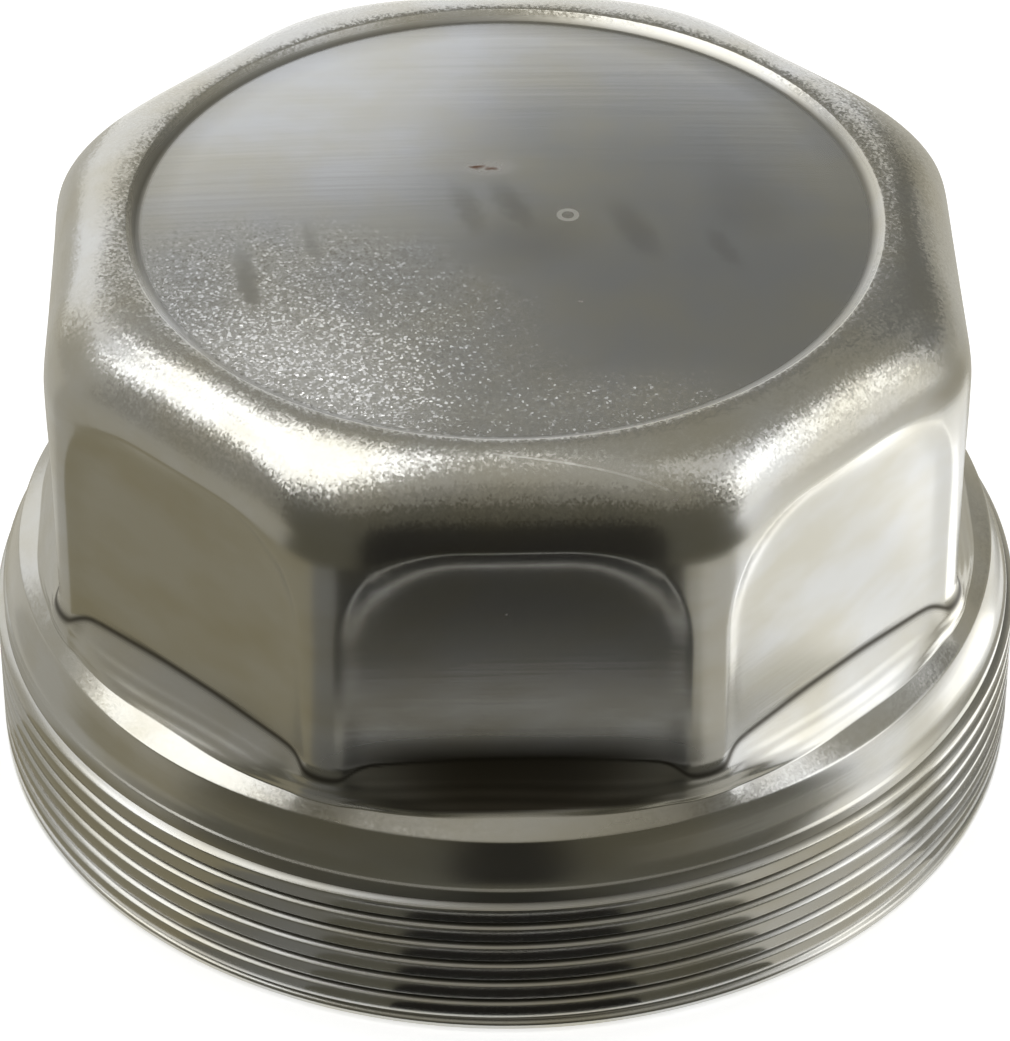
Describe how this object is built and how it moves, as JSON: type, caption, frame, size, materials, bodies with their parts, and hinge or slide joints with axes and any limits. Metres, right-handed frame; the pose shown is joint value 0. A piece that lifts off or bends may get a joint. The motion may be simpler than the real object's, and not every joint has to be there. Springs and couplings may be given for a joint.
{
  "type": "hub grease cap",
  "caption": "Screw-on steel wheel-hub grease cap: octagonal drum with pressed wrench panels and a shallow recessed crown, on a round threaded skirt open underneath.",
  "frame": {"origin": "centre of the open skirt's rim, on the thread axis", "axes": "+Z along the thread axis from the rim towards the crown, -Y square out of one wrench panel"},
  "size_m": [0.085, 0.085, 0.0495],
  "materials": {
    "plated_steel": "satin zinc-plated pressed steel"
  },
  "bodies": {
    "root": {"hub_cap": "plated_steel"}
  },
  "joints": []
}
